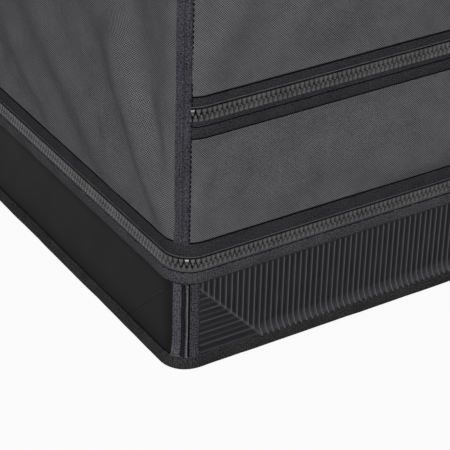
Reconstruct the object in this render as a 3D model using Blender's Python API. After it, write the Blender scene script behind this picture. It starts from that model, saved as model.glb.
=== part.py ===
# A soft folding roof box: a stiff floor with a low wall, a zipped fabric lid hinged along the back,
# and the clamps that hold it on two roof bars. Metres, +Z up, origin at the bottom centre.
# The front is the long side at -Y. Heights named below are measured up from the underside of the floor.

from math import cos, exp, hypot, pi, radians, sin

import bmesh
import bpy
from mathutils import Matrix, Vector

# Overall form
BOX_LENGTH = 1.100
BOX_WIDTH = 0.800
TOP_SEAM_HEIGHT = 0.400
CORNER_RADIUS = 0.018
TOP_DOME = 0.020
GAP = 0.0003

# Floor and low wall
FLOOR_THICKNESS = 0.004
SKIN_THICKNESS = 0.0012
BINDING_HEIGHT = 0.0085
BINDING_PROUD = 0.0035
BINDING_LIP = 0.008
BINDING_EDGE = 0.0010
BAND_HEIGHT = 0.0615
BAND_THICKNESS = 0.0025
POST_WIDTH = 0.010
POST_THICKNESS = 0.0012

# Ribs of the front wall
RIB_PITCH = 0.00427
RIB_DEPTH = 0.0009

# Fabric and tapes of the lid
FABRIC = 0.0012
SEAM_TAPE_WIDTH = 0.010
SEAM_TAPE_THICKNESS = 0.0010
PIPING_RADIUS = 0.003
PANEL_BULGE = 0.010
FOLD_DEPTH = 0.007
FOLD_WIDTH = 0.035
FOLD_REACH = 0.170

# Zips
ZIP_FOLD_HEIGHT = 0.0081
ZIP_FOLD_PROUD = 0.0012
ZIP_MARGIN = 0.0020
ROW_HEIGHT = 0.0033
ROW_THICKNESS = 0.0042
ROW_EDGE = 0.0009
CHAIN_GAP = 0.0014
ZIP_TAPE_HEIGHT = 0.0102
ZIP_CORD = 0.0009
FRONT_ZIP_SEAM = 0.1632
FRONT_ZIP_TAPE = 0.0115
FRONT_UPPER_TAPE = 0.0070

# Zip sliders and their pull tabs
SLIDER_LENGTH = 0.024
SLIDER_HEIGHT = 0.0135
SLIDER_PLATE = 0.0015
SLIDER_WEB = 0.0008
SLIDER_PARTING = 0.002
BAIL_BAR = 0.0012
BAIL_WIDTH = 0.002
BAIL_SPAN = 0.006
TAB_LENGTH = 0.028
TAB_WIDTH = 0.007
TAB_THICKNESS = 0.0012
TAB_EYE_BAR = 0.0016
TAB_PLAY = 0.0007

# Roof-bar clamps
BAR_SPACING = 0.600
CLAMP_SPACING = 0.500
BAR_SPACE = 0.040
ROD_DIAMETER = 0.008
LEG_SPACING = 0.080
BEND_RADIUS = 0.014
HOLE_PLAY = 0.0005
PLATE_LENGTH = 0.124
PLATE_WIDTH = 0.040
PLATE_THICKNESS = 0.003
KNOB_RADIUS = 0.017
KNOB_HEIGHT = 0.020
KNOB_HUB_RADIUS = 0.011
KNOB_HUB_HEIGHT = 0.005
ROD_END = 0.004

# Heights and places worked out from the sizes above
ROD_SIDES = 8
ROD_FLAT = ROD_DIAMETER * cos(pi / ROD_SIDES)
LIFT = BAR_SPACE + ROD_FLAT
HALF_RUN = (BOX_LENGTH / 2 - CORNER_RADIUS, BOX_WIDTH / 2 - CORNER_RADIUS)
WALL_FOOT = SKIN_THICKNESS + GAP
FLOOR_TOP = WALL_FOOT + FLOOR_THICKNESS
ZIP_FOLD_FOOT = BAND_HEIGHT + GAP
ZIP_FOLD_TOP = ZIP_FOLD_FOOT + ZIP_FOLD_HEIGHT
BASE_ROW_FOOT = ZIP_FOLD_TOP + ZIP_MARGIN
LID_ROW_FOOT = BASE_ROW_FOOT + ROW_HEIGHT + CHAIN_GAP
LID_TAPE_FOOT = LID_ROW_FOOT + ROW_HEIGHT + GAP
PANEL_FOOT = LID_TAPE_FOOT + ZIP_TAPE_HEIGHT + GAP
PANEL_HEAD = TOP_SEAM_HEIGHT - PIPING_RADIUS - GAP
FRONT_LOW_ROW_FOOT = FRONT_ZIP_SEAM + FRONT_ZIP_TAPE + GAP
FRONT_HIGH_ROW_FOOT = FRONT_LOW_ROW_FOOT + ROW_HEIGHT + CHAIN_GAP
FRONT_HIGH_TAPE_FOOT = FRONT_HIGH_ROW_FOOT + ROW_HEIGHT + GAP
FRONT_PANEL_FOOT = FRONT_HIGH_TAPE_FOOT + FRONT_UPPER_TAPE + GAP
LID_CHAIN_HEIGHT = LID_ROW_FOOT - CHAIN_GAP / 2
FRONT_CHAIN_HEIGHT = FRONT_HIGH_ROW_FOOT - CHAIN_GAP / 2
ROW_OUTER = (ROW_THICKNESS - FABRIC) / 2
ROW_INNER = -(ROW_THICKNESS + FABRIC) / 2
HINGE_HEIGHT = LID_ROW_FOOT + GAP
HINGE_PROUD = 0.0005
SLIDER_FACE = ROW_OUTER + GAP + SLIDER_PLATE
TAB_AXIS = SLIDER_FACE + TAB_PLAY + TAB_THICKNESS / 2
SLIDER_END = HALF_RUN[0] - SLIDER_LENGTH / 2 - SLIDER_PARTING

# How finely round corners and long sides are divided
ARC_CUTS = tuple(step / 6 for step in range(6))
PANEL_CUTS = (0.0, 0.035, 0.07, 0.11, 0.155, 0.22, 0.5, 0.78, 0.845, 0.89, 0.93, 0.965)
TOP_CUTS = (0.0, 0.25, 0.5, 0.75)
PANEL_ROWS = 6
TOP_RINGS = 4
BAND_MARKS = 16
CORNER_NAMES = ("front_right", "back_right", "back_left", "front_left")

MATERIALS = {
    "grey_fabric": ((0.065, 0.063, 0.068), 0.85, 0.0),
    "black_tape": ((0.030, 0.030, 0.032), 0.80, 0.0),
    "band_sheet": ((0.018, 0.018, 0.020), 0.55, 0.0),
    "zip_plastic": ((0.080, 0.078, 0.074), 0.35, 0.0),
    "floor_board": ((0.020, 0.020, 0.020), 0.60, 0.0),
    "zinc_steel": ((0.550, 0.550, 0.540), 0.35, 1.0),
    "black_metal": ((0.030, 0.030, 0.030), 0.40, 1.0),
    "knob_plastic": ((0.020, 0.020, 0.020), 0.45, 0.0),
}


def clear_scene():
    for item in list(bpy.data.objects):
        bpy.data.objects.remove(item)


def make_material(name):
    colour, roughness, metallic = MATERIALS[name]
    material = bpy.data.materials.new(name)
    material.use_nodes = True
    shader = material.node_tree.nodes["Principled BSDF"]
    shader.inputs["Base Color"].default_value = (*colour, 1.0)
    shader.inputs["Roughness"].default_value = roughness
    shader.inputs["Metallic"].default_value = metallic
    return material


def material_named(name):
    return bpy.data.materials.get(name) or make_material(name)


def link_object(name, data, material):
    data.materials.append(material_named(material))
    item = bpy.data.objects.new(name, data)
    bpy.context.scene.collection.objects.link(item)
    return item


def finish_mesh(name, bm, material):
    bmesh.ops.recalc_face_normals(bm, faces=bm.faces)
    mesh = bpy.data.meshes.new(name)
    bm.to_mesh(mesh)
    bm.free()
    mesh.shade_smooth()
    mesh.set_sharp_from_angle(angle=radians(32))
    return link_object(name, mesh, material)


def loft(name, rings, material, closed=False, creased=0):
    """Joins rings of points into one closed skin. An open run gets a flat cap at each end.

    A sheet's first creased faces round the ring and the ones behind them are cut along matching diagonals, so
    that a twisted sheet keeps its thickness.
    """
    bm = bmesh.new()
    loops = [[bm.verts.new(point) for point in ring] for ring in rings]
    pairs = list(zip(loops, loops[1:]))
    if closed:
        pairs.append((loops[-1], loops[0]))
    else:
        bm.faces.new(reversed(loops[0]))
        bm.faces.new(loops[-1])
    count = len(loops[0])
    for low, high in pairs:
        for i in range(count):
            j = (i + 1) % count
            if i < creased:
                bm.faces.new((low[i], low[j], high[j]))
                bm.faces.new((low[i], high[j], high[i]))
            elif creased < i < 2 * creased + 1:
                bm.faces.new((low[i], low[j], high[i]))
                bm.faces.new((low[j], high[j], high[i]))
            else:
                bm.faces.new((low[i], low[j], high[j], high[i]))
    return finish_mesh(name, bm, material)


def extrude_outline(name, outline, foot, head, material):
    """A flat plate of a plan outline, between two heights above the floor's underside."""
    rings = [[(x, y, LIFT + height) for x, y in outline] for height in (foot, head)]
    return loft(name, rings, material)


# The wall line, seen from above and walked anticlockwise: side k spans 2k to 2k + 1 and the corner after it
# spans 2k + 1 to 2k + 2. Side 0 is the front, 1 the right end, 2 the back and 3 the left end.

def corner_centre(corner):
    signs = ((1, -1), (1, 1), (-1, 1), (-1, -1))[corner % 4]
    return Vector((signs[0] * HALF_RUN[0], signs[1] * HALF_RUN[1]))


def wall_line(place):
    """The point of the wall's outer face at a place on the line, and its outward direction."""
    span, part = divmod(place, 1.0)
    side, on_corner = divmod(int(span) % 8, 2)
    angle = radians(-90 + 90 * side + (90 * part if on_corner else 0))
    outward = Vector((cos(angle), sin(angle)))
    centre = corner_centre(side)
    if not on_corner:
        centre = corner_centre(side - 1).lerp(centre, part)
    return centre + CORNER_RADIUS * outward, outward


def places(start, end, side_cuts=(0.0,)):
    """Places from start to end, cut at the same fractions of each corner and side for every piece."""
    found = [start]
    for span in range(int(start), int(end) + 1):
        cuts = ARC_CUTS if span % 2 else side_cuts
        for cut in cuts:
            place = span + cut
            if start + 1e-6 < place < end - 1e-6:
                found.append(place)
    return found + [end]


def ring_at(place, section):
    """A section of (distance outward, height) points, stood up on the wall line."""
    point, outward = wall_line(place)
    return [(*(point + out * outward), LIFT + height) for out, height in section]


def wall_strip(name, start, end, section, material):
    return loft(name, [ring_at(place, section) for place in places(start, end)], material)


def wall_loop(name, section, material):
    run = places(0, 8)[:-1]
    return loft(name, [ring_at(place, section) for place in run], material, closed=True)


def rectangle(inner, outer, foot, head):
    return [(inner, foot), (outer, foot), (outer, head), (inner, head)]


def turn_for(width):
    """The share of a corner that a width covers on the wall line."""
    return width / (CORNER_RADIUS * pi / 2)


# Folds of the lid's fabric

def side_run(side):
    return 2 * HALF_RUN[side % 2]


def fold_height(across, up, tall):
    """One slanting fold that starts at the foot of the corner seam and runs up into the panel."""
    along = up * tall
    distance = across - FOLD_REACH * (along / tall) ** 0.8
    ridge = exp(-((distance / FOLD_WIDTH) ** 2))
    hollow = exp(-(((distance + FOLD_WIDTH * 1.4) / FOLD_WIDTH) ** 2))
    return FOLD_DEPTH * (ridge - 0.8 * hollow) * sin(pi * up)


def panel_relief(side, place, up, tall):
    """How far the fabric stands out from the wall line, from its slack and the folds at both ends."""
    part = min(max(place - 2 * side, 0.0), 1.0)
    edge = sin(pi * part)
    near = side_run(side) * part
    far = side_run(side) - near
    slack = PANEL_BULGE * edge * sin(pi * up)
    folds = fold_height(near, up, tall) + fold_height(far, up, tall)
    return slack + folds * min(1.0, 6 * edge)


def lid_panel(name, side, foot, head, rows=PANEL_ROWS):
    """One fabric wall of the lid, from the middle of one corner to the middle of the next."""
    seam = turn_for(GAP / 2)
    rings = []
    for place in places(2 * side + 7.5 + seam, 2 * side + 9.5 - seam, PANEL_CUTS):
        outer = []
        for row in range(rows + 1):
            up = row / rows
            outer.append((panel_relief(side, place - 8, up, head - foot), foot + up * (head - foot)))
        inner = [(out - FABRIC, height) for out, height in reversed(outer)]
        rings.append(ring_at(place, outer + inner))
    return loft(name, rings, "grey_fabric", creased=rows)


def top_panel():
    """The lid's domed top: rings of the wall line drawn in towards the middle, joined at the rim."""
    rim = -(PIPING_RADIUS + FABRIC / 2 + GAP)
    run = places(0, 8, TOP_CUTS)[:-1]
    upper, lower = [], []
    for step in range(TOP_RINGS):
        share = 1 - 0.24 * step
        rise = TOP_DOME * (1 - share ** 2.4)
        ring = []
        for place in run:
            point, outward = wall_line(place)
            point = (point + rim * outward) * share
            ring.append(Vector((*point, LIFT + TOP_SEAM_HEIGHT + FABRIC / 2 + rise)))
        upper.append(ring)
        lower.append([point - Vector((0, 0, FABRIC)) for point in ring])
    return loft("top_panel", list(reversed(lower)) + upper, "grey_fabric")


def piping_section():
    centre = -FABRIC / 2
    angles = [radians(30 + 60 * k) for k in range(6)]
    return [
        (centre + PIPING_RADIUS * cos(angle), TOP_SEAM_HEIGHT + PIPING_RADIUS * sin(angle))
        for angle in angles
    ]


# Floor and low wall

def binding_section():
    edge = BINDING_EDGE
    return [
        (-BINDING_LIP, 0.0),
        (BINDING_PROUD - edge, 0.0),
        (BINDING_PROUD, edge),
        (BINDING_PROUD, BINDING_HEIGHT - edge),
        (BINDING_PROUD - edge, BINDING_HEIGHT),
        (GAP, BINDING_HEIGHT),
        (GAP, SKIN_THICKNESS),
        (-BINDING_LIP, SKIN_THICKNESS),
    ]


def plan_outline(out):
    return [point + out * outward for point, outward in map(wall_line, places(0, 8)[:-1])]


def without_repeats(vertices):
    return list(dict.fromkeys(vertices))


def ribbed_band():
    """The front wall. Its face is ribbed: upright ribs along the straight, mitred at both ends into level ribs.

    A half rib is the unit of the rib pattern. Crests stand at odd half ribs and hollows at even ones, counted
    along for the upright ribs and downward for the level ones, so the two patterns meet on the mitre.
    """
    count = 2 * round(2 * HALF_RUN[0] / RIB_PITCH)
    half_rib = 2 * HALF_RUN[0] / count
    rows = 2 * int((BAND_HEIGHT - BINDING_HEIGHT - GAP) / (2 * half_rib))
    face = -BOX_WIDTH / 2
    bm = bmesh.new()
    made = {}

    def on_face(along, down, rib):
        if (along, down) not in made:
            out = RIB_DEPTH if rib % 2 else 0.0
            spot = (along * half_rib - HALF_RUN[0], face - out, LIFT + BAND_HEIGHT - down * half_rib)
            made[along, down] = bm.verts.new(spot)
        return made[along, down]

    def edge_vertex(along, height, inward):
        return bm.verts.new((along * half_rib - HALF_RUN[0], face + inward, LIFT + height))

    for k in range(count):
        feet = [on_face(n, min(n, count - n, rows), n) for n in (k, k + 1)]
        heads = [on_face(n, 0, n) for n in (k + 1, k)]
        bm.faces.new(without_repeats(feet + heads))
    for end, inward in ((0, 1), (count, -1)):
        for j in range(rows):
            outer = [on_face(end, n, n) for n in (j, j + 1)]
            inner = [on_face(end + inward * n, n, n) for n in (j + 1, j)]
            bm.faces.new(without_repeats(outer + inner))
        for j in range(1, rows, 2):
            bm.faces.new([on_face(end, n, n) for n in (j - 1, j, j + 1)])
    for k in range(rows + 1, count - rows, 2):
        bm.faces.new([on_face(n, rows, n) for n in (k - 1, k, k + 1)])

    marks = [0, *range(rows, count - rows, BAND_MARKS), count - rows, count]
    foot_out = {k: edge_vertex(k, WALL_FOOT, 0.0) for k in marks}
    foot_in = {k: edge_vertex(k, WALL_FOOT, BAND_THICKNESS) for k in marks}
    head_in = {k: edge_vertex(k, BAND_HEIGHT, BAND_THICKNESS) for k in marks}
    for a, b in zip(marks, marks[1:]):
        plain = a < rows or b > count - rows
        feet = (b, a) if plain else range(b, a - 1, -2)
        bm.faces.new([on_face(k, 0, k) for k in range(a, b + 1)] + [head_in[b], head_in[a]])
        bm.faces.new([head_in[a], head_in[b], foot_in[b], foot_in[a]])
        bm.faces.new([foot_in[a], foot_in[b], foot_out[b], foot_out[a]])
        bm.faces.new([foot_out[a], foot_out[b]] + [on_face(k, rows, k) for k in feet])

    seam = turn_for(GAP / 2)
    round_left = reversed(places(7.5 + seam, 8)[:-1])
    round_right = places(9, 9.5 - seam)[1:]
    for end, run in ((0, round_left), (count, round_right)):
        column = [foot_out[end]] + [on_face(end, j, j) for j in range(rows, -1, -2)]
        inner = [foot_in[end], head_in[end]]
        for place in run:
            foot, head = rectangle(0, 0, WALL_FOOT, BAND_HEIGHT)[1:3]
            new_column = [bm.verts.new(point) for point in ring_at(place, [foot, head])]
            behind = [(out - BAND_THICKNESS, height) for out, height in (foot, head)]
            new_inner = [bm.verts.new(point) for point in ring_at(place, behind)]
            bm.faces.new(column + new_column[::-1])
            bm.faces.new(inner + new_inner[::-1])
            bm.faces.new([column[0], inner[0], new_inner[0], new_column[0]])
            bm.faces.new([column[-1], inner[1], new_inner[1], new_column[1]])
            column, inner = new_column, new_inner
        bm.faces.new(column + inner[::-1])
    return finish_mesh("band_front", bm, "band_sheet")


def corner_strip(name, corner, width, section, material):
    """A tape laid over the middle of a corner."""
    middle = 2 * corner + 9.5
    half = turn_for(width / 2)
    return wall_strip(name, middle - half, middle + half, section, material)


def base_walls():
    seam = turn_for(GAP / 2)
    ribbed_band()
    plain = rectangle(-BAND_THICKNESS, 0, WALL_FOOT, BAND_HEIGHT)
    for side, name in ((1, "band_right"), (2, "band_back"), (3, "band_left")):
        wall_strip(name, 2 * side + 7.5 + seam, 2 * side + 9.5 - seam, plain, "band_sheet")
    post = rectangle(GAP, GAP + POST_THICKNESS, BINDING_HEIGHT + GAP, BAND_HEIGHT)
    for corner, name in enumerate(CORNER_NAMES):
        corner_strip("band_post_" + name, corner, POST_WIDTH, post, "black_tape")
    wall_loop("bottom_binding", binding_section(), "black_tape")
    hinge = rectangle(-FABRIC, 0, ZIP_FOLD_FOOT, LID_ROW_FOOT)
    wall_strip("hinge_strip", 11.5 + seam, 13.5 - seam, hinge, "black_tape")


def base_floor():
    board = extrude_outline("floor_panel", plan_outline(-BAND_THICKNESS - GAP), WALL_FOOT, FLOOR_TOP,
                            "floor_board")
    skin = extrude_outline("bottom_skin", plan_outline(-BINDING_LIP - GAP), 0.0, SKIN_THICKNESS,
                           "black_tape")
    cut_leg_holes(board)
    cut_leg_holes(skin)


# Zips

def fold_section():
    """The base side of the lid zip: a folded strip with the zip's tape standing out of it."""
    return [
        (-FABRIC, ZIP_FOLD_FOOT),
        (ZIP_FOLD_PROUD - ROW_EDGE, ZIP_FOLD_FOOT),
        (ZIP_FOLD_PROUD, ZIP_FOLD_FOOT + ROW_EDGE),
        (ZIP_FOLD_PROUD, ZIP_FOLD_TOP - ROW_EDGE),
        (0.0, ZIP_FOLD_TOP),
        (0.0, BASE_ROW_FOOT - GAP),
        (-FABRIC, BASE_ROW_FOOT - GAP),
    ]


def corded_tape_section(foot, tall):
    """The tape above a chain, with the fine cord that edges it."""
    return [
        (-FABRIC, foot),
        (0.0, foot),
        (ZIP_CORD, foot + ZIP_CORD / 2),
        (ZIP_CORD, foot + ZIP_CORD * 1.5),
        (0.0, foot + ZIP_CORD * 2),
        (0.0, foot + tall),
        (-FABRIC, foot + tall),
    ]


def row_section(foot):
    """One row of the chain: the outer shape of its teeth."""
    head = foot + ROW_HEIGHT
    edge = ROW_EDGE
    return [
        (ROW_INNER + edge, foot),
        (ROW_OUTER - edge, foot),
        (ROW_OUTER, foot + edge),
        (ROW_OUTER, head - edge),
        (ROW_OUTER - edge, head),
        (ROW_INNER + edge, head),
        (ROW_INNER, head - edge),
        (ROW_INNER, foot + edge),
    ]


def lid_zip():
    """The zip that closes the lid: it runs along the left end, the front and the right end."""
    seam = turn_for(GAP / 2)
    start, end = 5.5 + seam, 11.5 - seam
    wall_strip("base_zip_tape", start, end, fold_section(), "black_tape")
    wall_strip("base_zip_row", start, end, row_section(BASE_ROW_FOOT), "zip_plastic")
    wall_strip("lid_zip_row", start, end, row_section(LID_ROW_FOOT), "zip_plastic")
    wall_strip("lid_zip_tape", start, end, corded_tape_section(LID_TAPE_FOOT, ZIP_TAPE_HEIGHT),
               "black_tape")


def front_zip():
    """The second zip, across the front of the lid from one corner seam to the other."""
    seam = turn_for(GAP / 2)
    low_tape = rectangle(-FABRIC, 0, FRONT_ZIP_SEAM, FRONT_ZIP_SEAM + FRONT_ZIP_TAPE)
    wall_strip("front_zip_lower_tape", 7.5 + seam, 9.5 - seam, low_tape, "black_tape")
    high_tape = corded_tape_section(FRONT_HIGH_TAPE_FOOT, FRONT_UPPER_TAPE)
    clear = turn_for(SEAM_TAPE_WIDTH / 2 + 2 * GAP)
    wall_strip("front_zip_upper_tape", 7.5 + clear, 9.5 - clear, high_tape, "black_tape")
    for name, foot in (("lower", FRONT_LOW_ROW_FOOT), ("upper", FRONT_HIGH_ROW_FOOT)):
        wall_strip(f"front_zip_{name}_row", 7.5 + clear, 9.5 - clear, row_section(foot), "zip_plastic")


# Lid panels and their seams

def lid_panels():
    lid_panel("panel_front_lower", 0, PANEL_FOOT, FRONT_ZIP_SEAM - GAP, rows=3)
    lid_panel("panel_front_upper", 0, FRONT_PANEL_FOOT, PANEL_HEAD)
    lid_panel("panel_right", 1, PANEL_FOOT, PANEL_HEAD)
    lid_panel("panel_back", 2, HINGE_HEIGHT + GAP, PANEL_HEAD)
    lid_panel("panel_left", 3, PANEL_FOOT, PANEL_HEAD)
    top_panel()
    seam_tape = rectangle(GAP, GAP + SEAM_TAPE_THICKNESS, PANEL_FOOT, PANEL_HEAD)
    for corner, name in enumerate(CORNER_NAMES):
        corner_strip("seam_tape_" + name, corner, SEAM_TAPE_WIDTH, seam_tape, "black_tape")
    wall_loop("top_piping", piping_section(), "black_tape")


# Zip sliders: local X runs along the chain, local Y into the wall, and the origin is on the chain's middle

def slider_mesh():
    """Two plates on either side of the chain, joined by the web between its rows, narrowed at both ends."""
    back = -ROW_INNER + GAP
    front = -ROW_OUTER - GAP
    rings = []
    for share, tall in ((-0.5, 0.66), (-0.3, 1.0), (0.3, 1.0), (0.5, 0.66)):
        x = share * SLIDER_LENGTH
        z = tall * SLIDER_HEIGHT / 2
        web = SLIDER_WEB / 2
        section = [
            (front - SLIDER_PLATE, -z), (front, -z), (front, -web), (back, -web), (back, -z),
            (back + SLIDER_PLATE, -z), (back + SLIDER_PLATE, z), (back, z), (back, web),
            (front, web), (front, z), (front - SLIDER_PLATE, z),
        ]
        rings.append([(x, y, height) for y, height in section])
    return rings


def bail_rings():
    """The arch on the slider's face that holds the pull tab. Its feet run into the face."""
    face = -SLIDER_FACE
    inner = BAIL_SPAN / 2
    outer = inner + BAIL_BAR
    under = face - 2 * TAB_PLAY - TAB_THICKNESS
    over = under - BAIL_BAR
    foot = face + SLIDER_PLATE / 2
    path = ((-outer, -inner, foot, foot), (-outer, -inner, over, under), (outer, inner, over, under),
            (outer, inner, foot, foot))
    rings = []
    for x_out, x_in, y_out, y_in in path:
        low, high = -BAIL_WIDTH / 2, BAIL_WIDTH / 2
        rings.append([(x_out, y_out, low), (x_in, y_in, low), (x_in, y_in, high), (x_out, y_out, high)])
    return rings


def tab_object(name, direction):
    """The pull tab: a plate with an eye at one end, whose bar lies under the bail. Its origin is in the bar."""
    bar = TAB_EYE_BAR / 2
    window = hypot(BAIL_SPAN / 2 + BAIL_BAR, TAB_PLAY + TAB_THICKNESS / 2 + BAIL_BAR) + TAB_PLAY
    slot = BAIL_WIDTH / 2 + GAP
    half = TAB_WIDTH / 2
    columns = ((-bar, 0.8), (bar, 1.0), (window, 1.0), (0.85 * TAB_LENGTH, 0.9), (TAB_LENGTH, 0.55))
    bm = bmesh.new()
    grid = []
    for x, share in columns:
        outer = half * share
        grid.append([bm.verts.new((direction * x, -TAB_THICKNESS / 2, z)) for z in (-outer, -slot, slot, outer)])
    for i in range(len(columns) - 1):
        for j in range(3):
            if (i, j) != (1, 1):
                bm.faces.new((grid[i][j], grid[i + 1][j], grid[i + 1][j + 1], grid[i][j + 1]))
    plate = bmesh.ops.extrude_face_region(bm, geom=bm.faces[:])
    moved = [item for item in plate["geom"] if isinstance(item, bmesh.types.BMVert)]
    bmesh.ops.translate(bm, verts=moved, vec=(0, TAB_THICKNESS, 0))
    return finish_mesh(name, bm, "black_metal")


def make_slider(name, x, height, direction):
    place = Vector((x, -BOX_WIDTH / 2, LIFT + height))
    slider = loft(name, slider_mesh(), "black_metal")
    slider.location = place
    bail = loft(name + "_bail", bail_rings(), "black_metal")
    bail.location = place
    hide_helper(bail)
    add_boolean(slider, bail, "UNION")
    tab = tab_object(name.replace("slider", "pull_tab"), direction)
    tab.location = place + Vector((0, -TAB_AXIS, 0))
    carry(tab, slider)
    return slider


def zip_sliders():
    """Two sliders meet at the middle of the lid zip, and one is parked at the right end of the front zip."""
    apart = (SLIDER_LENGTH + SLIDER_PARTING) / 2
    make_slider("lid_zip_slider_left", -apart, LID_CHAIN_HEIGHT, -1)
    make_slider("lid_zip_slider_right", apart, LID_CHAIN_HEIGHT, 1)
    make_slider("front_zip_slider", SLIDER_END, FRONT_CHAIN_HEIGHT, -1)


# Roof-bar clamps

def hide_helper(item):
    item.hide_render = True
    item.display_type = "WIRE"


def add_boolean(item, other, operation):
    modifier = item.modifiers.new(operation.lower(), "BOOLEAN")
    modifier.operation = operation
    modifier.object = other


def clamp_places():
    for x, along in ((-BAR_SPACING / 2, "left"), (BAR_SPACING / 2, "right")):
        for y, across in ((-CLAMP_SPACING / 2, "front"), (CLAMP_SPACING / 2, "back")):
            yield f"{across}_{along}", x, y


def circle(radius, sides, turn=0.0):
    angles = [2 * pi * (k + turn) / sides for k in range(sides)]
    return [(radius * cos(angle), radius * sin(angle)) for angle in angles]


def leg_hole_cutter():
    bm = bmesh.new()
    head = FLOOR_TOP + 2 * GAP + PLATE_THICKNESS + HOLE_PLAY
    for _, x, y in clamp_places():
        for leg in (-LEG_SPACING / 2, LEG_SPACING / 2):
            place = Matrix.Translation((x + leg, y, LIFT + head / 2))
            bmesh.ops.create_cone(bm, cap_ends=True, segments=12, radius1=ROD_DIAMETER / 2 + HOLE_PLAY,
                                  radius2=ROD_DIAMETER / 2 + HOLE_PLAY, depth=2 * head, matrix=place)
    cutter = finish_mesh("leg_hole_cutter", bm, "zinc_steel")
    hide_helper(cutter)
    return cutter


def cut_leg_holes(item):
    add_boolean(item, bpy.data.objects["leg_hole_cutter"], "DIFFERENCE")


def rod_path():
    """The U-bolt's middle line: down one leg, round two bends and up the other, in its own XZ plane."""
    top = LIFT + FLOOR_TOP + 2 * GAP + PLATE_THICKNESS + KNOB_HEIGHT + ROD_END
    low = ROD_FLAT / 2
    half = LEG_SPACING / 2
    points = [(-half, top)]
    for side, start in ((-1, 180), (1, 270)):
        for step in range(6):
            angle = radians(start + 18 * step)
            centre = side * (half - BEND_RADIUS)
            points.append((centre + BEND_RADIUS * cos(angle), low + BEND_RADIUS + BEND_RADIUS * sin(angle)))
    points.append((half, top))
    return [Vector(point) for point in points]


def u_bolt(name, x, y):
    path = rod_path()
    rings = []
    for i, point in enumerate(path):
        before = path[max(i - 1, 0)]
        after = path[min(i + 1, len(path) - 1)]
        run = (after - before).normalized()
        side = Vector((-run.y, run.x))
        ring = []
        for across, deep in circle(ROD_DIAMETER / 2, ROD_SIDES, 0.5):
            ring.append((x + point.x + side.x * across, y + deep, point.y + side.y * across))
        rings.append(ring)
    return loft(name, rings, "zinc_steel")


def clamp_plate(name, x, y):
    half_length, half_width = PLATE_LENGTH / 2, PLATE_WIDTH / 2
    cut = PLATE_WIDTH / 5
    corners = [
        (-half_length + cut, -half_width), (half_length - cut, -half_width), (half_length, cut - half_width),
        (half_length, half_width - cut), (half_length - cut, half_width), (-half_length + cut, half_width),
        (-half_length, half_width - cut), (-half_length, cut - half_width),
    ]
    outline = [(x + along, y + across) for along, across in corners]
    foot = FLOOR_TOP + GAP
    plate = extrude_outline(name, outline, foot, foot + PLATE_THICKNESS, "zinc_steel")
    cut_leg_holes(plate)


def knob_mesh():
    """A five-lobed hand knob with a through hole, standing on its hub."""
    bore = ROD_DIAMETER / 2 + HOLE_PLAY + GAP
    sides = 15

    def ring(radius, height, lobed):
        return [
            (x * (1 - 0.14 * lobed * (k % 3 == 1)), y * (1 - 0.14 * lobed * (k % 3 == 1)), height)
            for k, (x, y) in enumerate(circle(radius, sides))
        ]

    chamfer = KNOB_RADIUS / 8
    return [
        ring(bore, 0.0, 0),
        ring(KNOB_HUB_RADIUS, 0.0, 0),
        ring(KNOB_HUB_RADIUS, KNOB_HUB_HEIGHT, 0),
        ring(KNOB_RADIUS, KNOB_HUB_HEIGHT + chamfer, 1),
        ring(KNOB_RADIUS, KNOB_HEIGHT - chamfer, 1),
        ring(bore, KNOB_HEIGHT, 0),
    ]


def roof_bar_clamps():
    knob_foot = FLOOR_TOP + 2 * GAP + PLATE_THICKNESS
    for name, x, y in clamp_places():
        u_bolt("u_bolt_" + name, x, y)
        clamp_plate("clamp_plate_" + name, x, y)
        for leg, end in ((-LEG_SPACING / 2, "a"), (LEG_SPACING / 2, "b")):
            knob = loft(f"knob_{name}_{end}", knob_mesh(), "knob_plastic", closed=True)
            knob.location = (x + leg, y, LIFT + knob_foot)


# Assembly

def carry(child, parent):
    """Parents a piece without moving it. Parents here only stand at a place and aren't turned."""
    child.parent = parent
    child.matrix_parent_inverse = Matrix.Translation(parent.location).inverted()


def hang_lid():
    """Everything above the lid zip's chain turns about the hinge line, at the back of the box."""
    hinge = bpy.data.objects.new("lid_hinge_line", None)
    hinge.location = (0, BOX_WIDTH / 2 + HINGE_PROUD, LIFT + HINGE_HEIGHT)
    bpy.context.scene.collection.objects.link(hinge)
    on_lid = ("panel_", "top_", "seam_tape_", "lid_zip_", "front_zip_")
    for item in list(bpy.data.objects):
        if item.name.startswith(on_lid) and item.parent is None:
            carry(item, hinge)


def build():
    clear_scene()
    leg_hole_cutter()
    base_floor()
    base_walls()
    lid_zip()
    front_zip()
    lid_panels()
    zip_sliders()
    roof_bar_clamps()
    hang_lid()


build()
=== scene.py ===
from math import cos, pi, radians, sin

import bpy
import numpy as np
from mathutils import Matrix, Vector


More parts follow.
